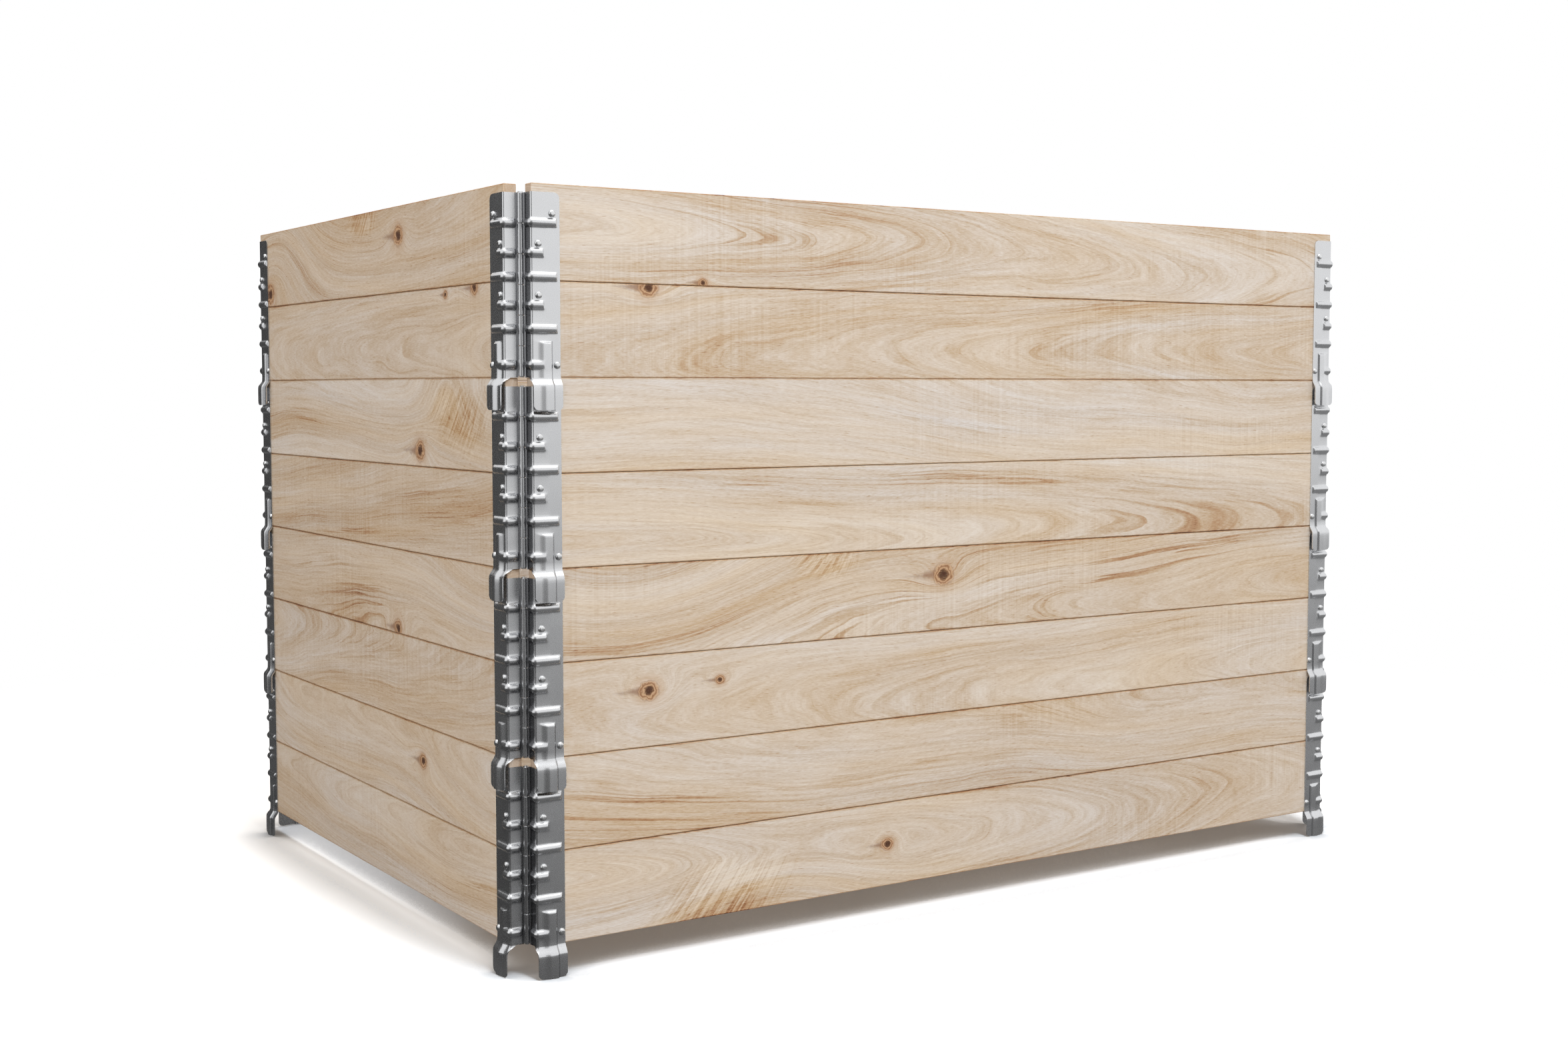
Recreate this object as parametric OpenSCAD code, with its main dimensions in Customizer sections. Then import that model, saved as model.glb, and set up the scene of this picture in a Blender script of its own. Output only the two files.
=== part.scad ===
// Stack of folding pallet collars: two-board wooden panels joined at the corners by pressed steel hinges.
// The origin is under the middle of the stack, at the bottom of the lowest feet.
// X runs along the long side, Y along the short side and Z up.

/* [Collar] */
// Number of collars in the stack
collar_count = 4; // [1:1:4]
// Length of a collar over the outer faces of its boards
collar_length = 1200; // [600:10:1600]
// Width of a collar over the outer faces of its boards
collar_width = 800; // [400:10:1200]

/* [Boards] */
// Height that one board takes up in the stack
board_height = 96; // [90:1:120]
// Thickness of a board
board_thickness = 14; // [12:0.5:22]
// Open joint between the two boards of a panel
board_gap = 0.6; // [0.2:0.1:2]
// Chamfer along the edges of a board
board_chamfer = 1.2; // [0.8:0.1:2]

/* [Hinge pin] */
// Diameter of the hinge pin
pin_diameter = 3.8; // [3:0.1:4.4]
// Clearance all round the pin in its knuckles
pin_clearance = 0.1; // [0.05:0.05:0.2]
// Thickness of the head at each end of the pin
pin_head_thickness = 0.9; // [0.6:0.1:1.5]
// How far the pin's head stands past the pin all round
pin_head_lip = 0.8; // [0.5:0.1:1.2]
// How far the pin's axis lies inside the inner faces of the boards
axis_inset = 2.2; // [2:0.1:3]
// Distance from the pin's axis to the end flanges that it lies between
axis_gap = 3; // [2.6:0.1:3.4]

/* [Hinge leaf] */
// Thickness of the steel sheet
sheet = 1.2; // [1:0.1:1.5]
// Width of the outer flange, from the bend to its free edge
leaf_width = 31.5; // [30:0.5:40]
// Distance from the top of the boards to the top of the leaf
leaf_drop = 8.8; // [6:0.1:14]
// Inside radius of the bend round the board's end
bend_radius = 0.7; // [0.5:0.1:1]
// Radius of the free top corner of the outer flange
leaf_corner = 6; // [3:0.5:8]
// Number of knuckles at a corner, shared in turn by its two leaves
knuckle_count = 6; // [4:2:8]
// Height of the lowest knuckle above the collar's base
knuckle_base = 1.2; // [1.2:0.1:4]
// Gap between neighbouring knuckles
knuckle_gap = 0.4; // [0.2:0.1:0.8]
// Room left round the other leaf's knuckles
knuckle_relief = 0.3; // [0.2:0.1:0.6]

/* [Pressed ribs] */
// Room left between a rib's crest and the plane midway to the rib that faces it when a corner is laid flat
rib_clearance = 0.2; // [0.1:0.05:0.4]
// Reach of a long rib along the outer flange, from the bend
long_rib = 27.8; // [20:0.5:30]
// Reach of a short rib along the outer flange, from the bend
short_rib = 13.1; // [10:0.1:16]
// Chamfer at the ends of a rib
rib_edge = 1.2; // [0.8:0.1:2]
// Height of the first long rib above the joint between the boards
rib_1_height = 57.1; // [50:0.1:60]
// Height of the first short rib above the joint between the boards
rib_2_height = 27.3; // [22:0.1:30]
// Height of the middle long rib above the joint between the boards
rib_3_height = 3.9; // [0:0.1:8]
// Depth of the second short rib below the joint between the boards
rib_4_depth = 24.2; // [20:0.1:28]
// Depth of the last long rib below the joint between the boards
rib_5_depth = 47.7; // [40:0.1:50]
// Height of the lowest short rib above the collar's base
rib_6_height = 12.8; // [10:0.1:18]

/* [Foot] */
// Reach of the feet below the boards
foot_drop = 32.4; // [24:0.1:33]
// Gap between a foot and the flange of the leaf below it
foot_gap = 4; // [3.5:0.1:5]
// Reach of the foot past the bend, towards the corner
foot_overhang = 0.6; // [0:0.1:1]
// Radius of the foot's lower corners
foot_corner = 5; // [2:0.5:7]
// Height of the straight sheet between the boards' base and the step
step_start = 1; // [0.8:0.1:2]
// Slope of the step that carries the foot outwards, from the vertical
step_angle = 37; // [30:1:45]
// Distance from the bend to the stiffening bead that runs down to the foot
bead_offset = 6.2; // [5:0.1:8]
// Width of the bead's easy slope, on the side of the bend
bead_slope = 4.8; // [3:0.1:6]
// Width of the bead's crest
bead_crest = 9.5; // [7:0.1:10]
// Width of the bead's steep side
bead_side = 1.6; // [1:0.1:2]
// Height of the stiffening bead
bead_height = 2.4; // [1.8:0.1:2.6]
// Height of the top of the bead above the collar's base
bead_top = 36; // [30:0.5:38]
// Height of the slope at the bead's top end
bead_end = 2; // [1:0.1:3]

/* [Rivets] */
// Diameter of a rivet's shank
rivet_diameter = 5; // [4:0.1:5.5]
// Clearance all round the shank in its hole
rivet_clearance = 0.1; // [0.05:0.05:0.2]
// Diameter of a rivet's domed head
rivet_head = 7.6; // [6.5:0.1:7.8]
// Height of a rivet's domed head
rivet_head_height = 2.3; // [1.5:0.1:2.5]
// Diameter of the flat on top of the head
rivet_flat = 2.6; // [1:0.1:3]
// Diameter of the closed head on the inner face
rivet_tail = 7; // [6:0.1:8]
// Height of the closed head on the inner face
rivet_tail_height = 1.2; // [0.8:0.1:1.4]
// Distance of the top rivet from the bend
rivet_1_offset = 23.1; // [20:0.1:25]
// Height of the top rivet above the joint between the boards
rivet_1_height = 66.2; // [66:0.1:68]
// Distance of the two middle rivets from the bend
rivet_2_offset = 7.8; // [6:0.1:9]
// Height of the second rivet above the joint between the boards
rivet_2_height = 36.4; // [36:0.1:40]
// Depth of the third rivet below the joint between the boards
rivet_3_depth = 14.4; // [10:0.1:15]
// Distance of the lowest rivet from the bend
rivet_4_offset = 27.6; // [27.6:0.1:28]
// Height of the lowest rivet above the collar's base
rivet_4_height = 12.3; // [8:0.1:18]

/* [Hidden] */
$fn = 48;
wood_colour = [0.86, 0.70, 0.50];
steel_colour = [0.70, 0.71, 0.72];
rivet_colour = [0.78, 0.79, 0.80];
pin_colour = [0.60, 0.61, 0.62];
SIDES = ["front", "back", "left", "right"];
PIN_SIDES = ["front", "back"];
collar_height = 2 * board_height;
// Hinge geometry, in the corner's frame: X from the neighbour's outer face, Y inwards from the panel's own.
bore_radius = pin_diameter / 2 + pin_clearance;
knuckle_radius = bore_radius + sheet;
axis_depth = board_thickness + axis_inset;
bend_face = axis_depth + axis_gap;
board_end = bend_face + sheet;
bend_outer = bend_radius + sheet;
bend_x = bend_face + bend_outer;
bend_y = bend_radius;
leaf_edge = bend_face + leaf_width;
leaf_height = collar_height - leaf_drop;
flange_end = axis_depth - knuckle_radius - knuckle_relief;
barrel_length = leaf_height - knuckle_base;
knuckle_pitch = barrel_length / knuckle_count;
// Pressed forms: a rib's section is an arc about the line that the sheet is bent round.
rib_height = axis_gap - rib_clearance;
rib_radius = bend_outer + rib_height;
rib_half_width = sqrt(rib_radius * rib_radius - bend_outer * bend_outer);
end_rib = flange_end - bend_y - rib_edge - knuckle_relief;
bead_x = bend_face + bead_offset;
// Depth of the bead's form behind the outer face of the boards, clear of the sheet.
back = sheet;
// The foot's step: the sheet is folded outwards, down the slope, and back.
step_out = sheet + foot_gap;
step_drop = step_out / tan(step_angle);
fold_lift = sheet * tan(step_angle / 2);
step_end = -step_start - step_drop;
foot_edge = bend_face - foot_overhang;
// Rivets and ribs, as [distance from the bend, height above the collar's base].
RIVETS = [
    [rivet_1_offset, board_height + rivet_1_height],
    [rivet_2_offset, board_height + rivet_2_height],
    [rivet_2_offset, board_height - rivet_3_depth],
    [rivet_4_offset, rivet_4_height]
];
RIBS = [
    [long_rib, board_height + rib_1_height],
    [short_rib, board_height + rib_2_height],
    [long_rib, board_height + rib_3_height],
    [short_rib, board_height - rib_4_depth],
    [long_rib, board_height - rib_5_depth],
    [short_rib, rib_6_height]
];
// Depth of the cutting blocks, clear of everything that they cut.
past = leaf_width;
// Corner cutters stand this much outside the true arc, so that the arc meets the edges at an angle.
corner_ease = 0.05;

function node_name(k, side, piece) = str("collar_", k, "_", side, "_", piece);
function is_long(side) = side == "front" || side == "back";
function side_turn(side) = side == "front" ? 0 : side == "right" ? 90 : side == "back" ? 180 : -90;
function panel_span(side) = is_long(side) ? collar_length : collar_width;
function panel_reach(side) = is_long(side) ? collar_width / 2 : collar_length / 2;

// Puts a panel on its side of collar k. The panel lies along X with its outer face on Y = 0.
module on_side(k, side) {
    rotate(side_turn(side))
        translate([0, -panel_reach(side), foot_drop + (k - 1) * collar_height])
            children();
}

// Repeats a corner's hardware at both ends of a panel.
module at_both_ends(side) {
    for (end = [0, 1])
        mirror([end, 0, 0])
            translate([-panel_span(side) / 2, 0, 0])
                children();
}

// Puts a rivet, or its hole, at each place on a leaf, along Y.
module at_rivets() {
    for (place = RIVETS)
        translate([bend_face + place[0], 0, place[1]])
            rotate([-90, 0, 0])
                children();
}

// A rectangle from 0 to size with its corners cut off.
module chamfered_rectangle(size, cut) {
    polygon([
        [cut, 0], [size.x - cut, 0], [size.x, cut], [size.x, size.y - cut],
        [size.x - cut, size.y], [cut, size.y], [0, size.y - cut], [0, cut]
    ]);
}

// One board, from its outer face inwards, with eased edges and ends.
module board(side, height) {
    length = panel_span(side) - 2 * board_end;
    intersection() {
        translate([-length / 2, 0, 0])
            rotate([90, 0, 90])
                linear_extrude(length)
                    chamfered_rectangle([board_thickness, height], board_chamfer);
        translate([-length / 2, 0, 0])
            linear_extrude(height)
                chamfered_rectangle([length, board_thickness], board_chamfer);
    }
}

// The two boards of a panel, one above the other, drilled for the rivets.
module boards(side) {
    drill = rivet_diameter / 2 + rivet_clearance;
    each_height = board_height - board_gap / 2;
    color(wood_colour)
        difference() {
            union() {
                board(side, each_height);
                translate([0, 0, board_height + board_gap / 2])
                    board(side, each_height);
            }
            at_both_ends(side)
                at_rivets()
                    translate([0, 0, -board_thickness])
                        cylinder(r = drill, h = 3 * board_thickness);
        }
}

// A rod along Z from 0 to its length, with its end chamfered.
module chamfered_rod(radius, length, cut) {
    rotate_extrude()
        polygon([[0, 0], [radius, 0], [radius, length - cut], [radius - cut, length], [0, length]]);
}

// The full rod that a rib is pressed from: along the outer flange, round the bend and over the end flange.
module rib_rod(radius, reach, height) {
    translate([bend_x, bend_y, height]) {
        rotate([0, 90, 0])
            chamfered_rod(radius, reach - bend_outer, rib_edge);
        rotate([-90, 0, 0])
            chamfered_rod(radius, end_rib, rib_edge);
        rotate_extrude(angle = 90, start = 180)
            intersection() {
                circle(radius);
                translate([0, -radius])
                    square([radius, 2 * radius]);
            }
    }
}

// Section of the bead's form: easy slope, crest and steep side. It reaches behind the sheet.
module bead_section() {
    crest = -sheet - bead_height;
    crest_x = bead_x + bead_slope;
    spread = (back - crest) / bead_height;
    polygon([
        [crest_x - bead_slope * spread, back], [crest_x, crest],
        [crest_x + bead_crest, crest], [crest_x + bead_crest + bead_side * spread, back]
    ]);
}

// What lies under the slope at the bead's top end, as seen along the panel.
module under_bead_end() {
    reach = sheet + 2 * bead_height;
    linear_extrude(leaf_edge)
        polygon([
            [back, step_end], [back, bead_top + bead_end * (back + sheet) / bead_height],
            [-reach, bead_top - 2 * bead_end], [-reach, step_end]
        ]);
}

// The full form that the bead is pressed over: down the flange, over the step's slope and down the foot.
module bead_form(bottom) {
    intersection() {
        translate([0, 0, step_end])
            linear_extrude(bead_top + back - step_end)
                bead_section();
        rotate([90, 0, 90])
            under_bead_end();
    }
    intersection() {
        translate([0, 0, -step_start])
            rotate([-step_angle, 0, 0])
                linear_extrude(4 * past, center = true)
                    bead_section();
        translate([0, -step_out, bottom])
            linear_extrude(step_out - bottom)
                bead_section();
    }
}

// Section of the bent sheet: the outer flange, the bend and the end flange.
module flange_section() {
    translate([bend_x, -sheet])
        square([leaf_edge - bend_x, sheet]);
    translate([bend_face, bend_y])
        square([sheet, flange_end - bend_y]);
    translate([bend_x, bend_y])
        intersection() {
            difference() {
                circle(bend_outer);
                circle(bend_radius);
            }
            translate([-bend_outer, -bend_outer])
                square(bend_outer);
        }
}

// Section of one knuckle: a tongue of the end flange rolled into a barrel round the pin.
module knuckle_section() {
    polygon([
        [bend_face, flange_end], [board_end, flange_end],
        [axis_depth + knuckle_radius - sheet / 4, axis_depth], [axis_depth + bore_radius + sheet / 4, axis_depth]
    ]);
    translate([axis_depth, axis_depth])
        difference() {
            circle(knuckle_radius);
            circle(bore_radius);
        }
}

// Rounds off a corner: the edges run along +X and +Z from the corner at the origin.
module corner_cutter(radius) {
    rotate([90, 0, 0])
        translate([0, 0, -past])
            linear_extrude(2 * past)
                difference() {
                    translate([-radius, -radius])
                        square(2 * radius);
                    translate([radius, radius])
                        circle(radius + corner_ease);
                }
}

// The board side of the foot, from the boards' base down, as seen along the panel.
function foot_back() = [[0, 0], [0, -step_start], [-step_out, step_end], [-step_out, -foot_drop]];

// The foot: a strip of the outer flange, folded so that it hangs outside whatever the collar stands on.
module foot_strip() {
    translate([foot_edge, 0, 0])
        rotate([90, 0, 90])
            linear_extrude(leaf_edge - foot_edge)
                polygon(concat(foot_back(), [
                    [-step_out - sheet, -foot_drop], [-step_out - sheet, step_end + fold_lift],
                    [-sheet, -step_start + fold_lift], [-sheet, 0]
                ]));
}

// What the bead's form leaves behind the foot.
module behind_foot() {
    translate([foot_edge - past, 0, 0])
        rotate([90, 0, 90])
            linear_extrude(leaf_edge - foot_edge + 2 * past)
                polygon(concat(foot_back(), [[past, -foot_drop], [past, 0]]));
}

// One hinge leaf, pressed from sheet. Its knuckles are every second one, from the first.
module hinge_leaf(first) {
    difference() {
        union() {
            linear_extrude(leaf_height)
                flange_section();
            for (rib = RIBS)
                rib_rod(rib_radius, rib[0], rib[1]);
            bead_form(-foot_drop);
            for (i = [first:2:knuckle_count - 1])
                translate([0, 0, knuckle_base + i * knuckle_pitch + knuckle_gap / 2])
                    linear_extrude(knuckle_pitch - knuckle_gap)
                        knuckle_section();
            foot_strip();
        }
        translate([0, sheet, 0])
            bead_form(-foot_drop - past);
        // What the rods and the form leave on the board's side of the sheet.
        linear_extrude(leaf_height)
            polygon([
                [bend_x, 0], [leaf_edge, 0], [leaf_edge, past], [bend_x, past],
                [bend_x, flange_end], [board_end, flange_end], [board_end, bend_y]
            ]);
        behind_foot();
        translate([leaf_edge, 0, leaf_height])
            mirror([1, 0, 0])
                mirror([0, 0, 1])
                    corner_cutter(leaf_corner);
        translate([foot_edge, 0, -foot_drop])
            corner_cutter(foot_corner);
        translate([leaf_edge, 0, -foot_drop])
            mirror([1, 0, 0])
                corner_cutter(foot_corner);
        at_rivets()
            translate([0, 0, -2 * sheet])
                cylinder(d = rivet_diameter + 2 * rivet_clearance, h = 3 * sheet);
    }
}

// The two hinge leaves of a panel. Long panels have the lowest knuckle of each corner.
module hinge_leaves(side) {
    color(steel_colour)
        at_both_ends(side)
            hinge_leaf(is_long(side) ? 0 : 1);
}

// One rivet along Z: domed head outside the leaf, shank through leaf and board, closed head inside.
module rivet() {
    head_radius = rivet_head / 2;
    flat_radius = rivet_flat / 2;
    dome_rise = (head_radius * head_radius - flat_radius * flat_radius) / rivet_head_height;
    dome_depth = (dome_rise - rivet_head_height) / 2;
    dome_radius = sqrt(head_radius * head_radius + dome_depth * dome_depth);
    tail_edge = rivet_tail_height / 3;
    rotate_extrude() {
        translate([0, -sheet])
            square([rivet_diameter / 2, sheet + board_thickness]);
        translate([0, -sheet])
            intersection() {
                translate([0, dome_depth])
                    circle(dome_radius);
                translate([0, -rivet_head_height])
                    square([rivet_head, rivet_head_height]);
            }
        translate([0, board_thickness])
            polygon([
                [0, 0], [rivet_tail / 2, 0], [rivet_tail / 2, rivet_tail_height - tail_edge],
                [rivet_tail / 2 - tail_edge, rivet_tail_height], [0, rivet_tail_height]
            ]);
    }
}

// The rivets that hold a panel's boards to its two leaves.
module rivets(side) {
    color(rivet_colour)
        at_both_ends(side)
            at_rivets()
                rivet();
}

// One hinge pin along Z, headed over at both ends.
module hinge_pin() {
    head_radius = pin_diameter / 2 + pin_head_lip;
    head_edge = pin_head_thickness / 2;
    cylinder(d = pin_diameter, h = barrel_length);
    for (end = [0, 1])
        translate([0, 0, end * barrel_length])
            mirror([0, 0, 1 - end])
                rotate_extrude()
                    polygon([
                        [0, 0], [head_radius, 0], [head_radius, pin_head_thickness - head_edge],
                        [head_radius - head_edge, pin_head_thickness], [0, pin_head_thickness]
                    ]);
}

// The pins of a long panel, one at each end.
module hinge_pins(side) {
    color(pin_colour)
        at_both_ends(side)
            translate([axis_depth, axis_depth, knuckle_base])
                hinge_pin();
}

for (k = [1:collar_count], side = SIDES) {
    on_side(k, side) boards(side);
    on_side(k, side) hinge_leaves(side);
    on_side(k, side) rivets(side);
}
for (k = [1:collar_count], side = PIN_SIDES)
    on_side(k, side) hinge_pins(side);
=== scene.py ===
import math

import bmesh
import bpy
import numpy as np
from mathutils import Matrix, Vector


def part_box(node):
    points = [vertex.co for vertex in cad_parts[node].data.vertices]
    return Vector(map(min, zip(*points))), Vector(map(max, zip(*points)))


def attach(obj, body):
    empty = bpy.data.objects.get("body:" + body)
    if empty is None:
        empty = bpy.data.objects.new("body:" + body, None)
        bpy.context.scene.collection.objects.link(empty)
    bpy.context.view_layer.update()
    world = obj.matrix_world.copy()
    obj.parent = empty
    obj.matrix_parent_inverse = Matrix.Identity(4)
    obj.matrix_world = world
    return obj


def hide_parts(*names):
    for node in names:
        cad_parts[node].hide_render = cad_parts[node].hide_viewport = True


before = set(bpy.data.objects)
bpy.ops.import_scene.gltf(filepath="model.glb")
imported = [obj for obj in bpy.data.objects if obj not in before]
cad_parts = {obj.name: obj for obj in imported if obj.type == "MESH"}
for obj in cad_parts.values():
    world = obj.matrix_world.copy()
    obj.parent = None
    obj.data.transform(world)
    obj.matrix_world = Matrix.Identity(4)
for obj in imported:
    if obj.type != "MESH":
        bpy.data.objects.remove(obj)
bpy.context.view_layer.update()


# Boards: planed hardwood, two to a panel, one above the other, with eased edges and sawn ends.
# The rivets of the hinge leaves hold them at both ends, and nothing else joins the two.
MM = 0.001
COLLARS = 4
BOARD_EASE = 0.0009
BOARD_JOINT = 0.0005
SIDE_TURN = {"front": 0.0, "right": math.pi / 2, "back": math.pi, "left": -math.pi / 2}
# Knots and curly patches, by side and course from below: place along, place up and size in metres.
KNOTS = {
    ("front", 8): [(-0.383, 0.003, 0.0048)],
    ("front", 7): [(-0.448, 0.0925, 0.0090)],
    ("front", 4): [(-0.063, 0.064, 0.0115)],
    ("front", 3): [(-0.450, 0.059, 0.0095), (-0.363, 0.0635, 0.0050)],
    ("front", 1): [(-0.141, 0.048, 0.0070)],
    ("left", 8): [(0.103, 0.063, 0.0110), (-0.342, 0.016, 0.0130)],
    ("left", 7): [(0.2325, 0.088, 0.0045), (0.307, 0.092, 0.0075)],
    ("left", 6): [(0.158, 0.017, 0.0110)],
    ("left", 4): [(0.087, 0.006, 0.0090)],
    ("left", 2): [(0.155, 0.056, 0.0085)],
}
CURLS = {
    ("front", 1): (-0.36, 0.010, 0.115),
    ("front", 4): (-0.23, 0.090, 0.050),
    ("left", 6): (0.270, 0.055, 0.095),
    ("left", 8): (-0.012, 0.087, 0.050),
}
# Old branches that the rings sweep round: along, up and size, as for the knots.
SWEEPS = {
    ("front", 4): (-0.470, 0.110, 0.050),
    ("front", 1): (-0.300, -0.010, 0.040),
    ("left", 8): (-0.330, 0.075, 0.048),
    ("left", 6): (0.235, 0.085, 0.022),
    ("left", 4): (0.330, 0.100, 0.040),
}
# Where a board has no knot, curl or sweep, its place lies far off the board.
FAR_AWAY = (50.0, 50.0, 0.001)
# The wood from its palest to its darkest, by a share from 0 to 1, then the colours of knots and sawn ends.
WOOD_TONES = [(0.0, (232, 222, 210)), (0.25, (218, 203, 186)), (0.45, (204, 182, 155)),
              (0.65, (188, 152, 117)), (0.85, (158, 110, 76)), (1.0, (104, 64, 44))]
KNOT_HALO = (196, 160, 124)
KNOT_STREAK = (132, 86, 56)
KNOT_PALE = (206, 168, 128)
KNOT_BROWN = (138, 88, 56)
KNOT_HEART = (72, 40, 27)
SAWN_END = (186, 154, 126)
# What one unit of warmth adds to red, green and blue.
WARM_TINT = (0.0, -0.05, -0.14)


class Field:
    """A number in a shader tree, which formulas add and multiply like a plain number."""

    def __init__(self, tree, socket):
        self.tree = tree
        self.socket = socket

    def calc(self, operation, *others):
        node = self.tree.nodes.new("ShaderNodeMath")
        node.operation = operation
        for socket, value in zip(node.inputs, (self,) + others):
            put(self.tree, socket, value)
        return Field(self.tree, node.outputs[0])

    def __add__(self, other):
        return self.calc("ADD", other)

    def __sub__(self, other):
        return self.calc("SUBTRACT", other)

    def __mul__(self, other):
        return self.calc("MULTIPLY", other)

    def __truediv__(self, other):
        return self.calc("DIVIDE", other)


def put(tree, socket, value):
    """Links a socket to another one, or sets its constant."""
    if isinstance(value, Field):
        value = value.socket
    if isinstance(value, bpy.types.NodeSocket):
        tree.links.new(value, socket)
    else:
        socket.default_value = value


def linear(red, green, blue):
    """A screen colour, from 0 to 255, as the linear colour that a shader takes."""
    shares = [channel / 255 for channel in (red, green, blue)]
    levels = [share / 12.92 if share <= 0.04045 else ((share + 0.055) / 1.055) ** 2.4 for share in shares]
    return levels + [1.0]


def parts(tree, socket):
    """The three numbers of a vector."""
    node = tree.nodes.new("ShaderNodeSeparateXYZ")
    tree.links.new(socket, node.inputs[0])
    return [Field(tree, output) for output in node.outputs]


def stored(tree, name):
    """The three numbers that the mesh stores under a name."""
    node = tree.nodes.new("ShaderNodeAttribute")
    node.attribute_name = name
    return parts(tree, node.outputs["Vector"])


def noise(tree, x, y, z, detail=2.0, roughness=0.5):
    """Noise from 0 to 1 at a place."""
    place = tree.nodes.new("ShaderNodeCombineXYZ")
    for socket, value in zip(place.inputs, (x, y, z)):
        put(tree, socket, value)
    node = tree.nodes.new("ShaderNodeTexNoise")
    tree.links.new(place.outputs[0], node.inputs["Vector"])
    node.inputs["Scale"].default_value = 1.0
    node.inputs["Detail"].default_value = detail
    node.inputs["Roughness"].default_value = roughness
    return Field(tree, node.outputs["Fac"])


def ease(value, low, high, out_low=0.0, out_high=1.0):
    """A smooth step of a value from one range into another."""
    node = value.tree.nodes.new("ShaderNodeMapRange")
    node.interpolation_type = "SMOOTHSTEP"
    names = ("Value", "From Min", "From Max", "To Min", "To Max")
    for name, given in zip(names, (value, low, high, out_low, out_high)):
        put(value.tree, node.inputs[name], given)
    return Field(value.tree, node.outputs["Result"])


def blend(tree, factor, first, second, mode="MIX"):
    """Mixes two colours."""
    node = tree.nodes.new("ShaderNodeMix")
    node.data_type = "RGBA"
    node.blend_type = mode
    for socket, value in zip((node.inputs[0], node.inputs[6], node.inputs[7]), (factor, first, second)):
        put(tree, socket, value)
    return node.outputs[2]


def ramp(value, stops):
    """A colour from a number, by stops that pair a number with a colour."""
    node = value.tree.nodes.new("ShaderNodeValToRGB")
    marks = node.color_ramp.elements
    while len(marks) < len(stops):
        marks.new(0.5)
    for mark, (place, colour) in zip(marks, stops):
        mark.position = place
        mark.color = colour
    put(value.tree, node.inputs[0], value)
    return node.outputs["Color"]


def new_material(name, roughness, metallic):
    """An empty material with its tree and its shader."""
    material = bpy.data.materials.new(name)
    material.use_nodes = True
    shader = material.node_tree.nodes["Principled BSDF"]
    shader.inputs["Roughness"].default_value = roughness
    shader.inputs["Metallic"].default_value = metallic
    return material, material.node_tree, shader


def knot_fields(tree, along, up, name, wobble):
    """A knot's distance in knot radii, its push on the rings in metres, and the nearness of its tail."""
    knot_along, knot_up, radius = stored(tree, name)
    away = (along - knot_along) / (radius * 1.15)
    over = (up - knot_up) / radius
    near = (away * away + over * over).calc("SQRT") + wobble * 0.55
    push = (away * away * -0.12 - over * over * 0.30).calc("EXPONENT") * radius * 1.5
    tail = over.calc("ABSOLUTE") * 1.6 + away.calc("MAXIMUM", away * -0.30) + wobble * 0.8
    return near, push, tail


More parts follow.
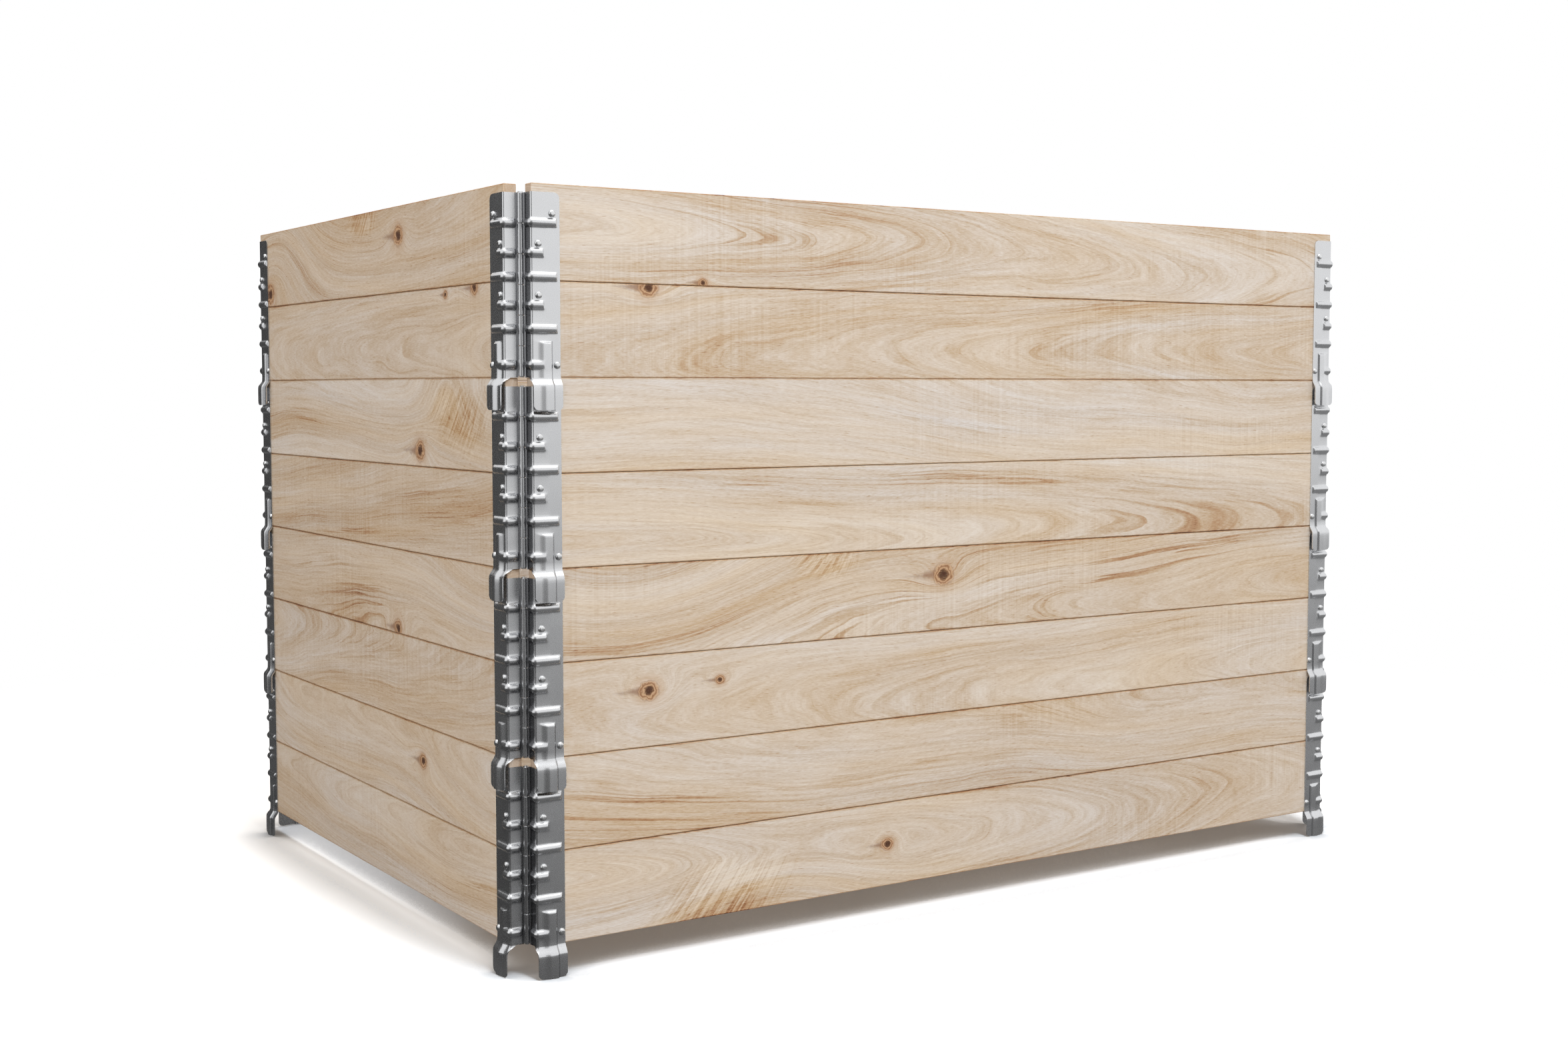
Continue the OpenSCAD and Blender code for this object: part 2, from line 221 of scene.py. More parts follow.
def wood_material(height):
    """Pale hardwood as a solid: growth rings about a pith, cut by the board, with knots and curl."""
    material, tree, shader = new_material("planed_hardwood", 0.6, 0.0)
    along, up, depth = stored(tree, "grain")
    seed_1, seed_2, seed_3 = stored(tree, "seed")
    pith_up, pith_depth, ring_scale = stored(tree, "pith")
    lean_up, lean_depth, tone = stored(tree, "lean")

    # The rings: distance from a pith that wanders along the board, bent round the knots.
    wander = noise(tree, along * 1.7 + seed_1, seed_2, 0.0, 1.0) - 0.5
    swirl = noise(tree, along * 5.0 + seed_2, up * 14.0, depth * 14.0 + seed_3) - 0.5
    ripple = noise(tree, along * 30.0 + seed_3, up * 60.0, seed_1) - 0.5
    wobble = noise(tree, along * 160.0, up * 160.0, seed_1) - 0.5
    off_up = up - pith_up - along * lean_up - wander * 0.07
    off_depth = depth - pith_depth - along * lean_depth - wander * 0.03
    near_a, push_a, tail_a = knot_fields(tree, along, up, "knot_a", wobble)
    near_b, push_b, tail_b = knot_fields(tree, along, up, "knot_b", wobble)
    sweep = knot_fields(tree, along, up, "sweep", wobble)[1]
    from_pith = (off_up * off_up + off_depth * off_depth).calc("SQRT")
    radius = from_pith + swirl * 0.011 + ripple * 0.0010 + push_a + push_b + sweep
    ring = radius * ring_scale

    # Bands, ring lines, streaky zones, fibres and short dark pores, which all follow the rings.
    band = noise(tree, ring * 34.0, along * 0.5 + seed_1, seed_2) - 0.5
    rings = noise(tree, ring * 95.0, along * 0.8 + seed_2, seed_3, 3.0, 0.6)
    patchy = noise(tree, along * 6.0 + seed_3, ring * 60.0, seed_1)
    zone = ease(noise(tree, ring * 26.0, along * 1.8 + seed_3, seed_1), 0.48, 0.72)
    saw = (rings * 5.0).calc("FRACT")
    fine_saw = (rings * 14.0).calc("FRACT")
    line = ease(saw, 0.66, 0.94) * ease(saw, 0.95, 1.0, 1.0, 0.0) * ease(patchy, 0.34, 0.60)
    fine_line = ease(fine_saw, 0.70, 0.93) * ease(fine_saw, 0.94, 1.0, 1.0, 0.0) * ease(patchy, 0.60, 0.40)
    line = line + fine_line * 0.5
    fibre = noise(tree, radius * 560.0, along * 12.0 + seed_2, up * 22.0, 5.0, 0.78) - 0.5
    strand = off_up + swirl * 0.010 + ripple * 0.0010 + push_a * 0.6 + push_b * 0.6
    hair = noise(tree, strand * 1500.0, along * 120.0 + seed_3, depth * 900.0, 3.0, 0.7) - 0.5
    pore = ease(noise(tree, strand * 1000.0, along * 75.0 + seed_1, depth * 600.0, 1.0), 0.66, 0.78)
    dark = tone + band * 0.66 + fibre * 0.74 + hair * 0.74 + zone * 0.10
    dark = dark + line * (zone * 0.26 + 0.13) + pore * 0.30

    # Planer marks: faint bars across the board, in patches.
    chatter = noise(tree, along * 330.0 + seed_1, up * 5.0 + swirl, seed_2, 1.0) - 0.5
    planed = ease(noise(tree, along * 3.0 + seed_3, up * 9.0, seed_2, 1.0), 0.46, 0.62)
    dark = dark + chatter * planed * 0.22

    # Curly grain in a patch: short bars across the fibres that fan out.
    curl_along, curl_up, curl_size = stored(tree, "curl")
    curl_x = (along - curl_along) / curl_size
    curl_y = (up - curl_up) / (curl_size * 0.45)
    in_curl = ease((curl_x * curl_x + curl_y * curl_y).calc("SQRT") + swirl * 1.6, 1.15, 0.30)
    slant = along - up * 0.8 + curl_x * curl_y * 0.012
    bars = noise(tree, slant * 240.0, up * 34.0 + swirl * 8.0, seed_1, 2.0, 0.6)
    feather = ease(bars, 0.46, 0.64) * 0.24 - ease(bars, 0.46, 0.32) * 0.16
    dark = dark + (feather + swirl * 1.6 + 0.02) * in_curl

    # Painted shade in the seams, where shade falls between the boards: on the rounded edges of the board,
    # and hardly on its flat upper and lower faces.
    edge = up.calc("MINIMUM", up * -1.0 + height)
    end_face, edge_face, _ = stored(tree, "facing")
    flat_edge = ease(edge_face, 0.97, 0.999)
    dark = dark + ease(edge, 0.0018, 0.0003) * (flat_edge * -0.28 + 0.32)
    colour = ramp(dark, [(share, linear(*tone_colour)) for share, tone_colour in WOOD_TONES])

    # Warmth, from cream to honey, that drifts along the board and changes from band to band.
    drift = noise(tree, along * 2.4 + seed_2, ring * 20.0, seed_3) - 0.5
    honey = noise(tree, ring * 75.0, along * 2.2 + seed_1, seed_3 + 7.0, 3.0, 0.6) - 0.5
    warmth = drift * 3.2 + honey * 3.4 + fibre * 1.0 + in_curl * 0.9
    tint = tree.nodes.new("ShaderNodeCombineColor")
    for socket, share in zip(tint.inputs[:3], WARM_TINT):
        put(tree, socket, warmth * share + 1.0)
    colour = blend(tree, 1.0, colour, tint.outputs[0], "MULTIPLY")

    # Knots: a warm halo, a streak along the grain, pale and brown rings, and a dark heart.
    near = near_a.calc("MINIMUM", near_b)
    tail = tail_a.calc("MINIMUM", tail_b)
    colour = blend(tree, ease(near, 2.4, 0.9, 0.0, 0.42), colour, linear(*KNOT_HALO))
    streak = ease(tail + fibre * 1.2, 1.5, 0.5) * ease(near, 0.7, 1.0)
    colour = blend(tree, streak * 0.62, colour, linear(*KNOT_STREAK))
    turn_of_rings = (near * 17.0 + wobble * 5.0).calc("SINE") * 0.5 + 0.5
    colour = blend(tree, ease(near, 1.2, 0.9) * 0.85, colour, linear(*KNOT_PALE))
    colour = blend(tree, turn_of_rings * ease(near, 1.3, 1.0) * 0.75, colour, linear(*KNOT_BROWN))
    colour = blend(tree, ease(near + hair * 0.8, 0.62, 0.30, 0.0, 0.92), colour, linear(*KNOT_HEART))

    # Sawn ends take up dirt and look darker.
    colour = blend(tree, end_face * 0.35, colour, linear(*SAWN_END))
    put(tree, shader.inputs["Base Color"], colour)
    put(tree, shader.inputs["Roughness"], ease(fibre, -0.2, 0.2, 0.58, 0.70))
    shader.inputs["Specular IOR Level"].default_value = 0.3
    bump = tree.nodes.new("ShaderNodeBump")
    bump.inputs["Strength"].default_value = 0.35
    bump.inputs["Distance"].default_value = 0.0003
    put(tree, bump.inputs["Height"], fibre * 0.7 + hair * 0.5 - pore - line * 0.3)
    put(tree, shader.inputs["Normal"], bump.outputs["Normal"])
    return material


def new_object(name, mesh):
    """An object at the origin, in the scene."""
    thing = bpy.data.objects.new(name, mesh)
    bpy.context.scene.collection.objects.link(thing)
    return thing


def corners_of(mesh):
    """The corners of a mesh as rows of three numbers."""
    places = np.zeros(len(mesh.vertices) * 3)
    mesh.vertices.foreach_get("co", places)
    return places.reshape(-1, 3)


def store(mesh, name, domain, rows):
    """Stores three numbers for each point or face of a mesh under a name."""
    layer = mesh.attributes.new(name, "FLOAT_VECTOR", domain)
    layer.data.foreach_set("vector", np.array(rows, float).ravel())


def board_pattern(name, length, height, thickness):
    """One board along X, from its outer face inwards, with its edges rounded over."""
    form = bmesh.new()
    bmesh.ops.create_cube(form, size=1.0)
    for corner in form.verts:
        corner.co.x *= length
        corner.co.y = (corner.co.y + 0.5) * thickness
        corner.co.z = (corner.co.z + 0.5) * height
    rounded = bmesh.ops.bevel(form, geom=form.edges[:], offset=BOARD_EASE, segments=3, profile=0.5,
                              affect="EDGES")
    for face in rounded["faces"]:
        face.smooth = True
    mesh = bpy.data.meshes.new(name)
    form.to_mesh(mesh)
    form.free()
    store(mesh, "grain", "POINT", corners_of(mesh)[:, [0, 2, 1]])
    store(mesh, "facing", "FACE", [(abs(face.normal.x), abs(face.normal.z), 0.0) for face in mesh.polygons])
    return new_object(name, mesh)


def pieces_on_points():
    """A Geometry Nodes tree that sets a piece, or its mirror image, on every point and turns it."""
    tree = bpy.data.node_groups.new("pieces_on_points", "GeometryNodeTree")
    sockets = {}
    kinds = {"Points": "Geometry", "Piece": "Object", "Mirrored piece": "Object", "Finish": "Material"}
    for name, kind in kinds.items():
        socket = tree.interface.new_socket(name, in_out="INPUT", socket_type="NodeSocket" + kind)
        sockets[name] = socket.identifier
    tree.interface.new_socket("Pieces", in_out="OUTPUT", socket_type="NodeSocketGeometry")
    given = tree.nodes.new("NodeGroupInput")
    result = tree.nodes.new("NodeGroupOutput")
    turn = tree.nodes.new("GeometryNodeInputNamedAttribute")
    turn.data_type = "FLOAT_VECTOR"
    turn.inputs["Name"].default_value = "turn"
    rotation = tree.nodes.new("FunctionNodeEulerToRotation")
    tree.links.new(turn.outputs["Attribute"], rotation.inputs[0])
    mirrored = tree.nodes.new("GeometryNodeInputNamedAttribute")
    mirrored.data_type = "BOOLEAN"
    mirrored.inputs["Name"].default_value = "mirrored"
    plain = tree.nodes.new("FunctionNodeBooleanMath")
    plain.operation = "NOT"
    tree.links.new(mirrored.outputs["Attribute"], plain.inputs[0])
    joined = tree.nodes.new("GeometryNodeJoinGeometry")
    for name, chosen in (("Piece", plain.outputs[0]), ("Mirrored piece", mirrored.outputs["Attribute"])):
        piece = tree.nodes.new("GeometryNodeObjectInfo")
        tree.links.new(given.outputs[name], piece.inputs["Object"])
        spread = tree.nodes.new("GeometryNodeInstanceOnPoints")
        tree.links.new(given.outputs["Points"], spread.inputs["Points"])
        tree.links.new(chosen, spread.inputs["Selection"])
        tree.links.new(piece.outputs["Geometry"], spread.inputs["Instance"])
        tree.links.new(rotation.outputs[0], spread.inputs["Rotation"])
        tree.links.new(spread.outputs["Instances"], joined.inputs[0])
    real = tree.nodes.new("GeometryNodeRealizeInstances")
    finish = tree.nodes.new("GeometryNodeSetMaterial")
    tree.links.new(joined.outputs[0], real.inputs[0])
    tree.links.new(real.outputs[0], finish.inputs["Geometry"])
    tree.links.new(given.outputs["Finish"], finish.inputs["Material"])
    tree.links.new(finish.outputs[0], result.inputs[0])
    return tree, sockets


spreader, spreader_sockets = pieces_on_points()


def spread_pieces(name, places, turn, mirrored, pattern, mirror_pattern, material, values):
    """Sets a pattern on each place, with the values given for it, and makes them one plain object."""
    mesh = bpy.data.meshes.new(name)
    mesh.from_pydata([tuple(place) for place in places], [], [])
    store(mesh, "turn", "POINT", [(0.0, 0.0, turn)] * len(places))
    mesh.attributes.new("mirrored", "BOOLEAN", "POINT").data.foreach_set("value", mirrored)
    for key, rows in values.items():
        store(mesh, key, "POINT", rows)
    piece = new_object(name, mesh)
    modifier = piece.modifiers.new("pieces_on_points", "NODES")
    modifier.node_group = spreader
    modifier[spreader_sockets["Piece"]] = pattern
    modifier[spreader_sockets["Mirrored piece"]] = mirror_pattern
    modifier[spreader_sockets["Finish"]] = material
    graph = bpy.context.evaluated_depsgraph_get()
    made = piece.evaluated_get(graph)
    plain = bpy.data.meshes.new_from_object(made, preserve_all_data_layers=True, depsgraph=graph)
    piece.modifiers.remove(modifier)
    piece.data = plain
    bpy.data.meshes.remove(mesh)
    plain.name = name
    return piece


def to_world(side, reach, place):
    """A place in the part's frame, from one in the panel's own frame, whose outer face is at Y = 0."""
    turn = SIDE_TURN[side]
    x, y, z = place[0], place[1] - reach, place[2]
    return (x * math.cos(turn) - y * math.sin(turn), x * math.sin(turn) + y * math.cos(turn), z)


def panel_frame(collar, side):
    """Length, reach, base, height and thickness of a panel's boards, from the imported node."""
    low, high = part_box(f"collar_{collar}_{side}_boards")
    across = 0 if side in ("front", "back") else 1
    reach = max(abs(low[1 - across]), abs(high[1 - across]))
    return high[across] - low[across], reach, low.z, high.z - low.z, high[1 - across] - low[1 - across]


wood = wood_material(panel_frame(1, "front")[3] / 2 - BOARD_JOINT)
chance = np.random.default_rng(20)
board_patterns = {}
for side in SIDE_TURN:
    for collar in range(1, COLLARS + 1):
        length, reach, base, height, thickness = panel_frame(collar, side)
        pitch = height / 2
        key = "long_board" if side in ("front", "back") else "short_board"
        if key not in board_patterns:
            board_patterns[key] = board_pattern(key, length, pitch - BOARD_JOINT, thickness)
        values = {name: [] for name in ("seed", "pith", "lean", "knot_a", "knot_b", "sweep", "curl")}
        places = []
        for board in range(2):
            course = 2 * collar - 1 + board
            # Each board is cut at its own place from the log: its pith, its lean and its tone are drawn.
            draw = chance.random(12)
            places.append(to_world(side, reach, (0.0, 0.0, base + board * pitch + BOARD_JOINT / 2)))
            values["seed"].append(draw[0:3] * 60.0)
            values["pith"].append((0.16 * draw[3] - 0.03, 0.035 + 0.045 * draw[4], 0.75 + 0.5 * draw[5]))
            lean_depth = math.copysign(0.03 + 0.05 * draw[7], draw[7] - 0.5)
            tone = 0.27 + 0.10 * (draw[8] - 0.5)
            values["lean"].append((0.10 * (draw[6] - 0.5), lean_depth, tone))
            knots = list(KNOTS.get((side, course), []))
            if side in ("back", "right") and draw[9] > 0.45:
                knot_along = length * 0.8 * (draw[10] - 0.5)
                knots = [(knot_along, 0.015 + 0.065 * draw[11], 0.004 + 0.006 * draw[9])]
            knots += [FAR_AWAY, FAR_AWAY]
            values["knot_a"].append(knots[0])
            values["knot_b"].append(knots[1])
            values["sweep"].append(SWEEPS.get((side, course), FAR_AWAY))
            values["curl"].append(CURLS.get((side, course), FAR_AWAY))
        boards = spread_pieces(f"collar_{collar}_{side}_planks", places, SIDE_TURN[side], [False, False],
                               board_patterns[key], None, wood, values)
        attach(boards, f"collar_{collar}_{side}")
        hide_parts(f"collar_{collar}_{side}_boards")
for pattern in board_patterns.values():
    bpy.data.objects.remove(pattern)


# Hinge leaves: pressed from galvanised sheet and bent round the ends of the boards, with ribs across the
# bend, a bead down over the stepped foot, and tongues rolled into knuckles. Four rivets hold each leaf.
# Sizes are in millimetres, in the frame of the leaf's corner.
SHEET = 1.2
BEND_FACE = 19.2
BEND_OUTER = 1.9
BEND_X = BEND_FACE + BEND_OUTER
BEND_Y = 0.7
BEND_RUN = BEND_OUTER * math.pi / 2
LEAF_REACH = 50.7 - BEND_X
LEAF_HEIGHT = 183.2
LEAF_CORNER = 6.0
FLANGE_RUN = 12.7 - BEND_Y
LIP_RUN = 1.6
LIP_SLOPE = (-0.68, 0.73)
AXIS = 16.2
BORE_RADIUS = 2.0
KNUCKLE_RADIUS = 3.2
KNUCKLE_CHAMFER = 0.35
KNUCKLE_BASE = 1.2
KNUCKLE_GAP = 0.4
KNUCKLES = 6
TONGUE_INSET = 0.3
TONGUE_CHAMFER = 0.05
BARREL_SIDES = 28
RIB_RADIUS = 4.7
RIB_HEIGHT = 2.8
RIB_FOOT = 3.9
RIB_FLANK = 1.5
RIB_END_SLOPE = 1.9
RIB_ROUND = 1.1
# Ribs of a leaf: reach from the bend, and height above the collar's base.
RIBS = [(27.8, 153.1), (13.1, 123.3), (27.8, 99.9), (13.1, 71.8), (27.8, 48.3), (13.1, 12.8)]
RIB_END_RUN = 10.5
FOOT_DROP = 32.4
FOOT_CORNER = 5.0
FOOT_EDGE = 18.6 - BEND_X
STEP_TOP = -1.0
STEP_BOTTOM = -7.9
STEP_OUT = 5.2
STEP_SOFTNESS = 0.05
OPEN_OUT_DROP = 7.0
BEAD_START = 6.2 - BEND_OUTER
BEAD_SLOPE = 6.4
BEAD_CREST = 7.9
BEAD_SIDE = 1.6
BEAD_HEIGHT = 2.4
BEAD_TOP = 36.0
BEAD_END = 2.0
# Rounding of the bead's crest, of its ends and along it, and where the press meets the flat sheet.
CREST_ROUND = 0.5
END_ROUND = 0.9
BEAD_ROUND = 0.45
PRESS_FILLET = 0.8
SHARP_FILLET = 0.35
# The flat sheet lies lower by this share of the fillet, to offset what the rounding adds.
FILLET_SINK = 0.12
SHARP_EDGE = math.radians(42)
# Painted shade in the recess of the hinge, by depth behind the boards' face and by distance from the pin's
# axis, then its colour, a weaker painted shade on the barrel and the half width of a painted shade line
# along the bead's far foot.
SHADE_DEPTHS = (0.9, 2.6)
SHADE_FROM_AXIS = (4.6, 6.0)
SHADE_TINT = (0.34, 0.34, 0.35, 1.0)
BARREL_SHADE = 0.12
BEAD_LINE = 0.7


def soft_max(first, second, radius):
    """The larger of two heights, rounded where they cross."""
    return 0.5 * (first + second + np.sqrt((first - second) ** 2 + radius ** 2))


def soft_min(first, second, radius):
    """The smaller of two heights, rounded where they cross."""
    return -soft_max(-first, -second, radius)


def pressed_height(run, z):
    """How far the press pushes the sheet out of its plane, at a run from the bend and a height."""
    ribs = np.full(np.broadcast(run, z).shape, -9.0)
    for reach, middle in RIBS:
        off = np.abs(z - middle)
        arc = np.sqrt(np.maximum(RIB_RADIUS ** 2 - np.minimum(off, RIB_FOOT) ** 2, 0.0))
        rib = arc - RIB_RADIUS + RIB_HEIGHT - RIB_FLANK * np.maximum(off - RIB_FOOT, 0.0)
        # The rounding takes about half a millimetre off each end, so the ends start further out.
        ends = np.minimum(reach - BEND_OUTER + 0.5 - run, run + BEND_RUN + RIB_END_RUN + 0.4)
        ribs = np.maximum(ribs, soft_min(rib, RIB_END_SLOPE * ends, RIB_ROUND))
    near = BEAD_START + BEAD_SLOPE
    near_slope = (run - BEAD_START) * BEAD_HEIGHT / BEAD_SLOPE
    far_side = (near + BEAD_CREST + BEAD_SIDE - run) * BEAD_HEIGHT / BEAD_SIDE
    top_end = (BEAD_TOP - z) * BEAD_HEIGHT / BEAD_END
    crest = soft_min(near_slope, BEAD_HEIGHT, CREST_ROUND)
    bead = soft_min(crest, soft_min(far_side, top_end, END_ROUND), BEAD_ROUND)
    height = soft_max(ribs, bead, END_ROUND)
    fillet = np.where(run > near + BEAD_CREST / 2, SHARP_FILLET, PRESS_FILLET)
    return soft_max(height, -FILLET_SINK * fillet, fillet)


def step_out(z):
    """How far the step has carried the sheet outwards at a height."""
    share = (STEP_TOP - z) / (STEP_TOP - STEP_BOTTOM)
    bends = np.sqrt(share ** 2 + STEP_SOFTNESS) - np.sqrt((share - 1.0) ** 2 + STEP_SOFTNESS)
    return STEP_OUT * 0.5 * (1.0 + bends)


def leaf_point(run, z, depth):
    """A point of the leaf at a depth below its outer face, in the corner's own frame in millimetres."""
    raised = pressed_height(run, z) - depth
    angle = np.clip(-run / BEND_OUTER, 0.0, math.pi / 2)
    past = np.clip(-run - BEND_RUN, 0.0, FLANGE_RUN)
    lip = np.maximum(-run - BEND_RUN - FLANGE_RUN, 0.0)
    flat = np.maximum(run, 0.0)
    x = BEND_X + flat - (BEND_OUTER + raised) * np.sin(angle) + LIP_SLOPE[0] * lip
    y = BEND_Y + past - (BEND_OUTER + raised) * np.cos(angle) + LIP_SLOPE[1] * lip
    open_out = np.clip(-z / OPEN_OUT_DROP, 0.0, 1.0)
    open_out = open_out ** 2 * (3.0 - 2.0 * open_out)
    x = x + open_out * (BEND_X + run - x)
    y = y + open_out * (-SHEET - raised - y) - step_out(z)
    return np.stack([x, y, z], -1)


def leaf_rows():
    """The heights of the leaf's cross lines, each with the ends of its run."""
    heights = [0.5 * step - 9.5 for step in range(21)] + [-11.0, -14.0]
    rib_lines = (0.6, 1.8, 2.9, 3.7, 4.3, 4.9, 5.7, 7.0)
    for _, middle in RIBS:
        heights += [middle + way * off for off in rib_lines for way in (-1, 1)]
    heights += [BEAD_TOP + off for off in (-4.0, -3.0, -2.4, -1.8, -1.2, -0.6, 0.0, 0.5, 1.0, 1.8)]
    turns = [math.radians(angle) for angle in range(0, 91, 15)]
    heights += [LEAF_HEIGHT - LEAF_CORNER * (1.0 - math.sin(turn)) for turn in turns]
    heights += [-FOOT_DROP + FOOT_CORNER * (1.0 - math.sin(turn)) for turn in turns]
    heights = sorted(set(round(height, 3) for height in heights))
    # Lines closer than a quarter of a millimetre are dropped, and gaps wider than 7 mm are filled.
    filled = [heights[0]]
    for height in heights[1:]:
        start = filled[-1]
        if height - start < 0.25:
            continue
        steps = max(1, math.ceil((height - start) / 7.0))
        filled += [start + (height - start) * step / steps for step in range(1, steps + 1)]
    filled[-1] = LEAF_HEIGHT
    rows = []
    for z in filled:
        above_top = max(0.0, z - (LEAF_HEIGHT - LEAF_CORNER))
        below_foot = max(0.0, FOOT_CORNER - FOOT_DROP - z)
        far = LEAF_REACH - LEAF_CORNER + math.sqrt(LEAF_CORNER ** 2 - above_top ** 2)
        cut = FOOT_CORNER - math.sqrt(max(FOOT_CORNER ** 2 - below_foot ** 2, 0.0))
        near = float(np.interp(z, [STEP_BOTTOM, -5.0, 0.0], [FOOT_EDGE, -BEND_RUN, -BEND_RUN - 5.0]))
        # At the base there are two rows: the foot's upper edge and the full leaf's lower one.
        if z <= 0.0:
            rows.append((z, near + cut, far - cut))
        if abs(z) < 1e-6 or z > 0.0:
            rows.append((z, -BEND_RUN - FLANGE_RUN - LIP_RUN, far))
    return rows


def leaf_sheet():
    """Points and faces of the pressed sheet: an outer and an inner skin, and the rim between them."""
    rows = leaf_rows()
    lip_runs = (FLANGE_RUN + LIP_RUN, FLANGE_RUN + LIP_RUN / 2, FLANGE_RUN)
    end_runs = [-BEND_RUN - run for run in lip_runs + (11.7, 11.2, 10.8, 10.4, 9.9, 9.2, 8.0, 5.0, 2.0)]
    bend_runs = [-BEND_RUN * part / 7 for part in range(7, 0, -1)]
    flange_runs = [0.0, 1.3, 2.8, 3.6, 4.3, 5.0, 5.8, 6.8, 7.8, 8.6, 9.1, 9.6, 10.2, 10.7, 11.1, 11.6, 12.4,
                   14.5, 17.0, 18.0, 18.5, 18.9, 19.3, 19.7, 20.1, 20.5, 21.0, 22.0, 24.0, 25.0, 25.5, 26.0,
                   26.5, 27.1, 28.2, 29.0, LEAF_REACH]
    runs = np.array(end_runs + bend_runs + flange_runs)
    z = np.array([row[0] for row in rows])[:, None]
    low = np.array([row[1] for row in rows])[:, None]
    high = np.array([row[2] for row in rows])[:, None]
    grid = np.clip(runs[None, :], low, high)
    z = np.broadcast_to(z, grid.shape)
    skins = [leaf_point(grid, z, depth).reshape(-1, 3) for depth in (0.0, SHEET)]
    points = np.concatenate(skins)
    count_z, count_run = grid.shape
    inner = count_z * count_run
    index = np.arange(inner).reshape(count_z, count_run)
    faces = []
    for below, above in zip(index[:-1], index[1:]):
        for column in range(count_run - 1):
            face = [below[column], below[column + 1], above[column + 1], above[column]]
            faces.append(face)
            faces.append([corner + inner for corner in reversed(face)])
    rim = list(index[0, :]) + list(index[1:, -1]) + list(index[-1, -2::-1]) + list(index[-2:0:-1, 0])
    for first, second in zip(rim, rim[1:] + rim[:1]):
        faces.append([second, first, first + inner, second + inner])
    return points, faces


def prism(outline, low, high, chamfer, hole=None):
    """Points and faces of an outline drawn up along Z, with chamfered ends and, where given, a hole."""
    outline = np.array(outline)
    middle = outline.mean(0)
    small = outline + (middle - outline) / np.linalg.norm(middle - outline, axis=1)[:, None] * chamfer
    levels = [(small, low), (outline, low + chamfer), (outline, high - chamfer), (small, high)]
    if hole is not None:
        levels += [(np.array(hole), high), (np.array(hole), low)]
    points = np.concatenate([np.column_stack([ring, np.full(len(ring), z)]) for ring, z in levels])
    count = len(outline)
    faces = []
    steps = len(levels) if hole is not None else len(levels) - 1
    for level in range(steps):
        upper = (level + 1) % len(levels)
        for corner in range(count):
            after = (corner + 1) % count
            lower_edge = [level * count + corner, level * count + after]
            faces.append(lower_edge + [upper * count + after, upper * count + corner])
    if hole is None:
        faces.append(list(range(count))[::-1])
        faces.append(list(range(3 * count, 4 * count)))
    return points, faces


def round_the_axis(radius):
    """The corners of a circle round the pin's axis."""
    turns = [2 * math.pi * part / BARREL_SIDES for part in range(BARREL_SIDES)]
    return [(AXIS + radius * math.cos(turn), AXIS + radius * math.sin(turn)) for turn in turns]


def hinge_shade(mesh, in_recess):
    """Stores the shade painted on a leaf: on its end flange, at the barrel and along the bead's far foot."""
    widths, depths, heights = (corners_of(mesh) / MM).T
    widths = np.abs(widths)
    from_axis = np.hypot(widths - AXIS, depths - AXIS)
    # Painted shade: on the end flange of a leaf in the recess, near the barrel, weakly on the barrel, and as
    # a line along the bead's far foot.
    painted_shade = np.interp(depths, SHADE_DEPTHS, [0.0, float(in_recess)])
    painted_shade = np.maximum(painted_shade, np.interp(from_axis, SHADE_FROM_AXIS, [1.0, 0.0]))
    painted_shade = np.where(from_axis < KNUCKLE_RADIUS + 0.05, BARREL_SHADE, painted_shade)
    bead_foot = BEND_X + BEAD_START + BEAD_SLOPE + BEAD_CREST + BEAD_SIDE
    in_line = np.clip(1.0 - np.abs(widths - bead_foot) / BEAD_LINE, 0.0, 1.0) * (heights < BEAD_TOP)
    painted_shade = np.maximum(painted_shade, in_line)
    store(mesh, "painted_shade", "POINT", np.repeat(painted_shade, 3))


def leaf_pattern(name, first_knuckle, mirror):
    """One hinge leaf with its knuckles. Its mirror image is the leaf for the other end of a panel."""
    pieces = [leaf_sheet()]
    pitch = (LEAF_HEIGHT - KNUCKLE_BASE) / KNUCKLES
    barrel = round_the_axis(KNUCKLE_RADIUS)
    bore = round_the_axis(BORE_RADIUS)
    tongue_start = BEND_Y + FLANGE_RUN - TONGUE_INSET
    tongue = [(BEND_FACE, tongue_start), (BEND_FACE + SHEET, tongue_start),
              (AXIS + KNUCKLE_RADIUS - TONGUE_INSET, AXIS), (AXIS + BORE_RADIUS + TONGUE_INSET, AXIS)]
    for knuckle in range(first_knuckle, KNUCKLES, 2):
        low = KNUCKLE_BASE + knuckle * pitch + KNUCKLE_GAP / 2
        high = low + pitch - KNUCKLE_GAP
        pieces.append(prism(barrel, low, high, KNUCKLE_CHAMFER, bore))
        pieces.append(prism(tongue, low + TONGUE_INSET, high - TONGUE_INSET, TONGUE_CHAMFER))
    points, faces = [], []
    for piece_points, piece_faces in pieces:
        start = sum(len(block) for block in points)
        points.append(piece_points)
        faces += [[int(corner) + start for corner in face] for face in piece_faces]
    points = np.concatenate(points) * MM
    if mirror:
        points[:, 0] *= -1.0
        faces = [face[::-1] for face in faces]
    mesh = bpy.data.meshes.new(name)
    mesh.from_pydata(points.tolist(), [], faces)
    form = bmesh.new()
    form.from_mesh(mesh)
    bmesh.ops.remove_doubles(form, verts=form.verts, dist=2e-6)
    bmesh.ops.dissolve_degenerate(form, dist=1e-6, edges=form.edges)
    for face in form.faces:
        face.smooth = True
    form.to_mesh(mesh)
    form.free()
    mesh.set_sharp_from_angle(angle=SHARP_EDGE)
    hinge_shade(mesh, first_knuckle == 0)
    return new_object(name, mesh)


